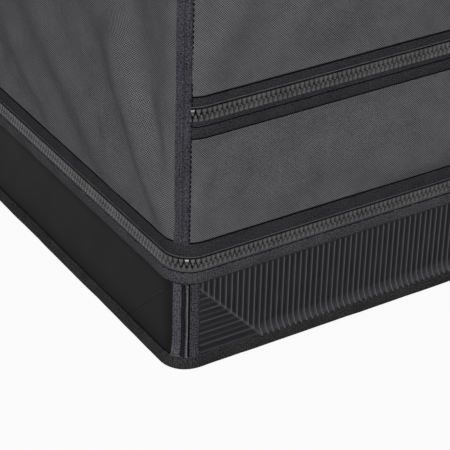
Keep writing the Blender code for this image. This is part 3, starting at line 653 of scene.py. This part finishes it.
def tapeRuns(start, end):
    return runsBetween(start, end, tapeSteps["coarse"], tapeSteps["fine"], tapeSteps["near"])


zipStart, zipEnd = breaks[5] + quarter / 2 - loopLength + tapeEnd, breaks[3] + quarter / 2 - tapeEnd
lidRuns = tapeRuns(zipStart, zipEnd)
frontRuns = tapeRuns(*wallSpan(0, tapeEnd))
waveLengths = {"out": (0.031, 0.047, 0.08, 0.019), "height": (0.05, 0.083, 0.027)}


def unevenStrip(name, runs, section, amount, seed, body, material, node=None, swell=0.0):
    # A tape of one section along the wall, a little wavy where its points stand clear of the wall.
    out, height = np.array(section).T
    waves = wander(runs, 0 * runs, waveLengths["out"], seed)
    outs = out[None, :] + (amount * waves + swell)[:, None] * (out > 0)[None, :]
    rise = 0.6 * amount * wander(runs, 0 * runs, waveLengths["height"], seed + 1)
    piece = stripPiece(name, runs, outs, height[None, :] + rise[:, None], 50)
    return place(piece, body, material, node)


def tapeSection(foot, head):
    # From its foot by the teeth up the outer face, then in and up behind the panel that it is sewn to.
    tucked = head + 0.006
    return [(-0.0012, foot - 0.0012), (-0.0004, foot - 0.0014), (-0.0001, foot - 0.0004),
            (0.0001, foot + 0.0010), (0.0002, foot + 0.0035), (0.0001, head - 0.0015),
            (-0.0004, head - 0.0003), (-0.0016, head + 0.0006), (-0.0017, tucked),
            (-0.0024, tucked), (-0.0024, head + 0.0002), (-0.0014, head - 0.0012)]


def roundSection(out, height, radius, points=8):
    angles = [radians(-90 + 360 * k / points) for k in range(points)]
    return [(out + radius * cos(a), height + radius * sin(a)) for a in angles]


# The zip cords are painted paler than their tapes: a painted highlight along the tapes' edges over the teeth.
zipCord = {"out": 0.0003, "above": 0.0009, "radius": 0.00048}
for tapeName, cordName, levels, runs, seed in (
    ("lid_zip_tape", "lid_zip_highlight_cord", zipLevels, lidRuns, 3),
    ("front_zip_upper_tape", "front_zip_highlight_cord", frontLevels, frontRuns, 5),
):
    section = tapeSection(levels["tapeFoot"], levels["tapeHead"])
    unevenStrip(tapeName, runs, section, 0.00015, seed, "lid", looks["zipTape"], tapeName)
    section = roundSection(zipCord["out"], levels["tapeFoot"] + zipCord["above"], zipCord["radius"])
    unevenStrip(cordName, runs, section, 0.00005, seed + 1, "lid", looks["cord"])
seam, lowHead = frontLevels["seam"], frontLevels["lowTapeHead"]
lowTape = [(-0.0024, seam - 0.006), (-0.0017, seam - 0.006), (-0.0016, seam - 0.0006),
           (0.0002, seam + 0.0002), (0.0007, seam + 0.0010), (0.0007, seam + 0.0070),
           (0.0003, seam + 0.0078), (0.0001, seam + 0.0085), (0.0001, lowHead + 0.0004),
           (-0.0004, lowHead + 0.0014), (-0.0012, lowHead + 0.0012), (-0.0014, seam)]
unevenStrip("front_zip_lower_tape", frontRuns, lowTape, 0.00015, 7, "lid",
            looks["zipTape"], "front_zip_lower_tape")
# The strip folded over the wall's head, and the tape above it that carries the base's teeth.
foldSection = [(-0.0012, 0.0618), (0.0004, 0.0619), (0.0011, 0.0625), (0.0014, 0.0636), (0.0014, 0.0681),
               (0.0012, 0.0691), (0.0005, 0.0697), (-0.0005, 0.0699), (-0.0005, 0.0703), (0.0001, 0.0706),
               (0.0002, 0.0716), (-0.0002, 0.0726), (-0.0010, 0.0727), (-0.0012, 0.0715)]
unevenStrip("base_zip_tape", lidRuns, foldSection, 0.00022, 8, "base", looks["foldTape"], "base_zip_tape")

# One moulded tooth seen from outside: (distance to the side, distance from the tape's edge), written in
# millimetres. Its layers are (out, share of the width, share of the height).
toothOutline = np.array([
    (-1.28, 0.00), (-1.36, 0.35), (-1.36, 1.75), (-1.16, 2.20), (-0.68, 2.50), (-0.58, 2.90), (-0.80, 3.40),
    (-0.74, 4.10), (-0.36, 4.45), (0.36, 4.45), (0.74, 4.10), (0.80, 3.40), (0.58, 2.90), (0.68, 2.50),
    (1.16, 2.20), (1.36, 1.75), (1.36, 0.35), (1.28, 0.00),
]) / 1000
toothLayers = [(-0.0024, 0.92, 0.88), (0.0004, 1.0, 1.0), (0.0012, 0.90, 0.86), (0.0016, 0.58, 0.50)]
tooth = {"pitch": 0.0034, "middle": np.array([0.0, 0.0021]), "uneven": 0.02, "lap": 0.0002, "endGap": 0.0010}


def toothRow(name, start, end, edge, way, offset, body):
    # Teeth that point up where way is 1 and down where it is -1, half a pitch apart on facing tapes.
    count = int((end - start) / tooth["pitch"])
    middles = start + tooth["pitch"] * (0.5 + offset + np.arange(count))
    middles = middles[middles < end - tooth["endGap"]]
    uneven = 1 + tooth["uneven"] * np.sin(middles * 977)[:, None]
    rings = []
    for out, wide, tall in toothLayers:
        across, along = (tooth["middle"] + (toothOutline - tooth["middle"]) * (wide, tall)).T
        rings.append(wallPoints(middles[:, None] + across * uneven, out, edge + way * (along - tooth["lap"])))
    cols = len(toothOutline)
    one = ringFaces(len(toothLayers), cols)
    if way > 0:
        one = [face[::-1] for face in one]
    firsts = np.arange(len(middles))[:, None, None] * (cols * len(toothLayers))
    quads, caps = (np.array([face for face in one if len(face) == size]) for size in (4, cols))
    faces = (firsts + quads[None]).reshape(-1, 4).tolist() + (firsts + caps[None]).reshape(-1, cols).tolist()
    piece = makeObject(name, np.concatenate(rings, 1), faces, sharp=28)
    return place(piece, body, looks["teeth"], name)


frontStart, frontEnd = frontRuns[0] + 0.0016, frontRuns[-1] - 0.0016
lidEdge, highEdge = zipLevels["lidRow"] + zipLevels["row"], frontLevels["highRow"] + zipLevels["row"]
toothRow("base_zip_row", zipStart, zipEnd, zipLevels["foot"], 1, 0.0, "base")
toothRow("lid_zip_row", zipStart, zipEnd, lidEdge, -1, 0.5, "lid")
toothRow("front_zip_lower_row", frontStart, frontEnd, frontLevels["lowRow"], 1, 0.0, "lid")
toothRow("front_zip_upper_row", frontStart, frontEnd, highEdge, -1, 0.5, "lid")
# Near-black strands lie in the seams above and below the chains, as painted shade in the seam folds and along
# the chains' edges, and one dark thread along the lower tape's step: (name, body, runs, height, out, radius).
for name, body, runs, height, out, radius in (
    ("base_seam_shade_line", "base", lidRuns, 0.0704, 0.0002, 0.00065),
    ("lid_seam_shade_line", "lid", lidRuns, 0.0909, -0.0001, 0.00070),
    ("front_seam_shade_line_low", "lid", frontRuns, seam - 0.0002, 0.0001, 0.00045),
    ("front_seam_shade_line_high", "lid", frontRuns, 0.1906, -0.0001, 0.00070),
    ("front_tape_thread", "lid", frontRuns, seam + 0.0078, 0.0004, 0.00040),
    ("lid_chain_shade_line", "lid", lidRuns, zipLevels["tapeFoot"] + 0.0001, 0.0006, 0.00045),
    ("front_chain_shade_line", "lid", frontRuns, frontLevels["tapeFoot"] + 0.0001, 0.0006, 0.00045),
):
    unevenStrip(name, runs, roundSection(out, height, radius, 6), 0.00004, 13, body, looks["thread"])
# A rounded bead edges the base's tape, below the teeth.
beadSection = [(-0.0010, 0.0708), (0.0010, 0.0708), (0.0014, 0.0712), (0.0016, 0.0718), (0.0016, 0.0724),
               (0.0012, 0.0729), (0.0004, 0.0731), (-0.0010, 0.0729)]
unevenStrip("base_zip_bead", lidRuns, beadSection, 0.00005, 14, "base", looks["cord"])
print("zips done", flush=True)


# Walls of the base: binding, smooth bands with their pressed creases, and the ribbed front band

loopRuns = tapeRuns(-loopLength / 2, loopLength / 2)
bindingSection = [(-0.0080, 0.0000), (0.0020, 0.0000), (0.0030, 0.0005), (0.0036, 0.0016), (0.0037, 0.0045),
                  (0.0034, 0.0066), (0.0026, 0.0079), (0.0014, 0.0086), (0.0005, 0.0085), (0.0003, 0.0076),
                  (0.0003, 0.0012), (-0.0080, 0.0010)]
# The binding stands out where it is folded round a corner.
swell = 0.0016 * hill(cornerGap(loopRuns), 0.011)
unevenStrip("bottom_binding", loopRuns, bindingSection, 0.0003, 9, "base",
            looks["binding"], "bottom_binding", swell)
# Painted highlight: a pale cord along the binding's head stands in for the light on its edge.
highlightCord = roundSection(0.0016, 0.0086, 0.0004)
unevenStrip("binding_edge_highlight_cord", loopRuns, highlightCord, 0.0001, 10, "base", looks["seamTape"], swell=swell)

smoothWall = {"lowRows": (0.0062, 0.022, 8), "highRows": (0.028, 0.0603, 7), "wave": 0.00025, "set": 0.0002,
              "cove": 0.5, "headTuck": 0.0004, "margin": 0.00015}
# The pressed 45-degree creases near both ends of a wall.
creaseShape = {"head": 0.0607, "foot": 0.0107, "rows": 24, "across": 0.0078, "top": 0.0612, "slope": 1.03,
               "half": 0.0007, "out": 0.0006}


def smoothBand(name, side):
    runs = tapeRuns(*wallSpan(side, smoothWall["margin"]))
    heights = np.concatenate([[bandLevels["foot"]], np.linspace(*smoothWall["lowRows"]),
                              np.linspace(*smoothWall["highRows"]), [bandLevels["head"]]])
    grid, tall = np.meshgrid(runs, heights, indexing="ij")
    out = smoothWall["wave"] * wander(grid, tall, (0.09, 0.14, 0.05), 11) - smoothWall["set"]
    out = out + flare(tall) * smoothWall["cove"]
    out[:, -1] -= smoothWall["headTuck"]
    piece = sheetPiece(name, runs, out, tall, bandLevels["thickness"])
    place(piece, "base", looks["band"], name)
    heights = np.linspace(creaseShape["head"], creaseShape["foot"], creaseShape["rows"])
    base = flare(heights) * smoothWall["cove"] + 0.0002
    half, stand = creaseShape["half"], creaseShape["out"]
    ridge = [(-half, 0.0), (0.0, stand), (half, 0.0), (0.0, -stand)]
    for label, way, start in (("start", 1, breaks[2 * side] - wall["radius"]),
                              ("end", -1, breaks[2 * side + 1] + wall["radius"])):
        along = start + way * (creaseShape["across"] + (creaseShape["top"] - heights) * creaseShape["slope"])
        points = np.stack([wallPoints(along + a * 0.7, base + o, heights + a * 0.7) for a, o in ridge], 1)
        # Each crease ridge carries the pale painted-highlight colour.
        crease = makeObject(f"{name}_crease_{label}", points, ringFaces(len(heights), 4), sharp=60)
        place(crease, "base", looks["crease"])


for side, name in ((1, "band_right"), (2, "band_back"), (3, "band_left")):
    smoothBand(name, side)

ribs = {"pitch": 1.064 / 249, "depth": 0.0010, "perRib": 6, "rows": (0.0090, 0.0609, 56), "lowRow": 0.0060,
        "crest": 0.15, "groove": 0.10, "grooveAt": 0.30, "grooveShare": 0.35, "level": 0.5, "margin": 0.00015}
mitre = {"start": 0.0062, "slope": 0.94, "soft": 0.0008, "ridge": 0.0006, "ridgeWidth": 0.0007}
# The ribs' feet run out to the right, and are painted paler there.
ribFoot = {"height": 0.009, "shift": 0.0016, "paling": 0.45}


def ribShape(turns):
    # One narrow crest per turn, with a groove on either side of it.
    part = np.abs(turns - np.round(turns))
    return hill(part, ribs["crest"]) - ribs["grooveShare"] * hill(part - ribs["grooveAt"], ribs["groove"])


# Where each rib's painted highlight lies.
def crestHighlightMask(turns):
    return hill(turns - np.round(turns), 0.10)


def ribbedBand():
    start, end = wallSpan(0, ribs["margin"])
    straight = np.arange(0.0, breaks[1] + 1e-9, ribs["pitch"] / ribs["perRib"])
    rounds = np.linspace(start, -0.0005, 24), np.linspace(breaks[1] + 0.0005, end, 24)
    runs = np.concatenate([rounds[0], straight, rounds[1]])
    foot, head = bandLevels["foot"], bandLevels["head"]
    heights = np.concatenate([[foot, ribs["lowRow"]], np.linspace(*ribs["rows"]), [head]])
    grid, tall = np.meshgrid(runs, heights, indexing="ij")
    ends = np.minimum(grid, breaks[1] - grid)
    # Under the mitre the ribs lie level and are only lightly pressed.
    aboveMitre = ends + mitre["start"] - (head - tall) * mitre["slope"]
    low = np.clip(1 - (tall - bandLevels["binding"]) / ribFoot["height"], 0, 1)
    turns = (grid - ribFoot["shift"] * low ** 2) / ribs["pitch"]
    levelTurns = (head - tall) / ribs["pitch"]
    blend = np.clip(aboveMitre / mitre["soft"] + 0.5, 0, 1)
    onFlat = ramp(ends + 0.0022, 0.0012)
    levelRibs = ribShape(levelTurns) * ribs["depth"] * ribs["level"]
    relief = blend * ribShape(turns) * ribs["depth"] + (1 - blend) * levelRibs * onFlat
    relief = relief + mitre["ridge"] * hill(aboveMitre, mitre["ridgeWidth"]) * onFlat
    topFade = ramp(head - tall, 0.0012)
    relief = relief * topFade + flare(tall) + 0.0002 * wander(grid, tall, (0.12, 0.2, 0.07), 12) - 0.0005
    # The hidden back of the sheet is plain: one row at its head and one at its foot.
    outs = np.concatenate([relief, np.full((len(runs), 2), -0.0005 - bandLevels["thickness"])], 1)
    talls = np.concatenate([tall, np.tile([head, foot], (len(runs), 1))], 1)
    piece = stripPiece("band_front", runs, outs, talls, 40)
    # Painted highlight along the crests and the mitre ridge, and paler towards the ribs' feet.
    crestHighlightAndPaleFoot = np.where(blend > 0.5, crestHighlightMask(turns) + ribFoot["paling"] * low,
                      0.6 * crestHighlightMask(levelTurns) * onFlat)
    crestHighlightAndPaleFoot = np.maximum(crestHighlightAndPaleFoot, 0.9 * hill(aboveMitre, 0.0006) * onFlat) * topFade
    crest = piece.data.attributes.new("crest", "FLOAT", "POINT")
    crest.data.foreach_set("value", np.pad(crestHighlightAndPaleFoot, ((0, 0), (0, 2))).astype(np.float32).ravel())
    place(piece, "base", looks["ribs"], "band_front")


ribbedBand()
print("walls done", flush=True)


# Top of the lid, with its piping

top = {"inset": -0.0033, "level": 0.4006, "rise": 0.020, "bulge": 2.4, "edge": 0.03, "lines": 0.0009,
       "fine": 0.0002, "puckers": 0.0009, "puckerWidth": 0.02}
# Shallow dips where the cloth sags: (depth, middle x, half length, middle y, half width).
topDips = [(0.004, 0.1, 0.3, -0.05, 0.2), (0.0035, -0.3, 0.2, 0.1, 0.18)]


def topPanel():
    run = runsBetween(0.0, loopLength, 0.010, fine=0.0047)[:-1]
    point, outward = wallAt(run)
    shares = np.concatenate([1 - np.array([0, 0.002, 0.006, 0.014]), np.linspace(0.97, 0.02, 32)])[:, None]
    ring = (point + top["inset"] * outward)[None] * shares[..., None]
    x, y = ring[..., 0], ring[..., 1]
    sag = sum(depth * np.exp(-(((x - midX) / halfX) ** 2 + ((y - midY) / halfY) ** 2))
              for depth, midX, halfX, midY, halfY in topDips)
    edge = np.minimum(1, (1 - shares) / top["edge"])
    lines = top["lines"] * wander(x, y, (0.23, 0.37, 0.61, 0.90), 21)
    lines = lines + top["fine"] * wander(x, y, (0.035, 0.05, 0.024, 0.067), 22)
    pucker = fade(1 - shares, top["puckerWidth"]) * wander(run, 0 * run, (0.024, 0.041, 0.016), 23)[None]
    rise = top["rise"] * (1 - shares ** top["bulge"])
    z = top["level"] + rise - sag * edge + (lines + top["puckers"] * pucker) * edge
    outer = np.concatenate([ring, (z + wall["lift"])[..., None]], -1)
    points = np.concatenate([outer, outer[::-1] - (0, 0, fabric["thickness"])], 0)
    rings, count = len(shares), len(run)
    faces = [face[::-1] for face in ringFaces(2 * rings, count, caps=False)]
    # The two middles are closed with small caps instead of being joined, and the first ring meets the last.
    faces = faces[:(rings - 1) * count] + faces[rings * count:]
    index = np.arange(2 * rings * count).reshape(-1, count)
    rim = [index[0], np.roll(index[0], -1), np.roll(index[-1], -1), index[-1]]
    faces += np.stack(rim, -1).tolist() + [index[rings - 1].tolist(), index[rings][::-1].tolist()]
    piece = makeObject("top_panel", points, faces, points[..., :2], 40)
    place(piece, "lid", looks["fabric"], "top_panel")


topPanel()
pipingRuns = runsBetween(-loopLength / 2, loopLength / 2, 0.008, fine=0.0022)
piping = roundSection(-0.0006, 0.400, 0.0030, 12)
unevenStrip("top_piping", pipingRuns, piping, 0.0002, 24, "lid", looks["binding"], "top_piping")
stitchRuns = np.arange(0, loopLength, 0.0042)
wallStitches("piping_stitches", stitchRuns, 0.0010, panelLevels["head"] - 0.0022, False, 0.0026, 0.00035)
print("top done", flush=True)


# Hinge cloth between the base and the lid

hinge = {"foot": 0.0619, "head": 0.0770, "rows": 12, "bow": 0.0006, "wave": 0.0001, "y": 0.4,
         "bendFrom": 0.0725, "bendTo": 0.0765}


def hingeCloth():
    runs = tapeRuns(*wallSpan(2, tapeEnd))
    heights = np.linspace(hinge["foot"], hinge["head"], hinge["rows"])
    grid, tall = np.meshgrid(runs, heights, indexing="ij")
    up = (tall - hinge["foot"]) / (hinge["head"] - hinge["foot"])
    bow = hinge["bow"] * np.sin(pi * up) + hinge["wave"] * wander(grid, tall, (0.03, 0.05, 0.02), 25)
    piece = sheetPiece("hinge_strip", runs, bow, tall, fabric["thickness"])
    piece.data.materials.append(looks["foldTape"])
    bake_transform(piece)
    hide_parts("hinge_strip")


hingeCloth()
print("hinge done", flush=True)


# CAD pieces whose shape is right keep it and get a finished surface
nodeLooks = {"floor_panel": "board", "bottom_skin": "skin"}
for node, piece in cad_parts.items():
    if node.startswith(("u_bolt", "clamp_plate")):
        nodeLooks[node] = "steel"
    elif "slider" in node or "pull_tab" in node:
        nodeLooks[node] = "black"
    elif node.startswith("knob"):
        nodeLooks[node] = "knob"
for node, look in nodeLooks.items():
    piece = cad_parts[node]
    for slot in piece.material_slots:
        slot.material = looks[look]
print("hardware done", flush=True)


# Camera, floor and lights

view = {"corner": Vector((-0.55, -0.40, wall["lift"])), "away": Vector((-0.523, -0.859, 0.730)),
        "heading": 32.9, "fall": 31.7, "roll": 1.7, "lens": 158.7}
studio = {"floorHalf": 6.0, "floorDrop": 0.0005, "floorGrey": (0.6, 0.6, 0.6, 1), "floorGlow": 0.94,
          "worldLight": 0.14}


def addCamera():
    heading, fall, roll = (radians(view[key]) for key in ("heading", "fall", "roll"))
    forward = Vector((sin(heading) * cos(fall), cos(heading) * cos(fall), -sin(fall)))
    level = Vector((cos(heading), -sin(heading), 0))
    upright = level.cross(forward)
    right = level * cos(roll) + upright * sin(roll)
    top = -level * sin(roll) + upright * cos(roll)
    data = bpy.data.cameras.new("photo_camera")
    data.lens = view["lens"]
    data.sensor_width = 36
    data.clip_start, data.clip_end = 0.05, 50
    camera = bpy.data.objects.new("photo_camera", data)
    turn = Matrix((right, top, -forward)).transposed()
    camera.matrix_world = Matrix.Translation(view["corner"] + view["away"]) @ turn.to_4x4()
    bpy.context.scene.collection.objects.link(camera)
    bpy.context.scene.camera = camera


def seenRays(tree):
    # 1 for what the camera, a gloss or a clear body sees, 0 for light that falls on the object.
    path = addNode(tree, "ShaderNodeLightPath")
    seen = maths(tree, "MAXIMUM", path.outputs["Is Camera Ray"], path.outputs["Is Glossy Ray"])
    return maths(tree, "MAXIMUM", seen, path.outputs["Is Transmission Ray"])


def addFloor():
    half = studio["floorHalf"]
    mesh = bpy.data.meshes.new("studio_floor")
    corners = [(-half, -half, 0), (half, -half, 0), (half, half, 0), (-half, half, 0)]
    mesh.from_pydata(corners, [], [(0, 1, 2, 3)])
    floor = bpy.data.objects.new("studio_floor", mesh)
    floor.location.z = -studio["floorDrop"]
    bpy.context.scene.collection.objects.link(floor)
    grey = studio["floorGrey"]
    material, tree, shader = newMaterial("pale_floor", 0.8, Base_Color=grey, Specular_IOR_Level=0.1)
    glow = addNode(tree, "ShaderNodeEmission", {"Color": (1, 1, 1, 1), "Strength": 1.0})
    share = maths(tree, "MULTIPLY", seenRays(tree), studio["floorGlow"])
    mixed = addNode(tree, "ShaderNodeMixShader", {0: share, 1: shader.outputs[0], 2: glow.outputs[0]})
    tree.links.new(mixed.outputs[0], tree.nodes["Material Output"].inputs["Surface"])
    mesh.materials.append(material)


def addWorld():
    # White to the camera, and dim as a light.
    world = bpy.data.worlds.new("studio")
    bpy.context.scene.world = world
    world.use_nodes = True
    tree = world.node_tree
    backdrop = tree.nodes["Background"]
    light = studio["worldLight"]
    strength = maths(tree, "MULTIPLY_ADD", seenRays(tree), 1.0 - light, light)
    backdrop.inputs["Color"].default_value = (1, 1, 1, 1)
    tree.links.new(strength, backdrop.inputs["Strength"])


def addLamp(name, location, target, size, power):
    data = bpy.data.lights.new(name, "AREA")
    data.shape = "RECTANGLE"
    data.size, data.size_y = size
    data.energy = power
    lamp = bpy.data.objects.new(name, data)
    lamp.location = location
    lamp.rotation_euler = (Vector(target) - Vector(location)).to_track_quat("-Z", "Y").to_euler()
    bpy.context.scene.collection.objects.link(lamp)


addCamera()
addFloor()
addWorld()
addLamp("key_softbox", (-2.15, -2.55, 1.8), (-0.3, -0.2, 0.2), (0.6, 0.6), 110)
addLamp("side_softbox", (2.8, 0.3, 1.7), (0, 0, 0.2), (1.4, 1.4), 60)
addLamp("back_softbox", (0.2, 2.8, 2.2), (0, 0, 0.2), (2.0, 1.2), 60)
bpy.context.scene.view_settings.view_transform = "Standard"
print("stage done", flush=True)
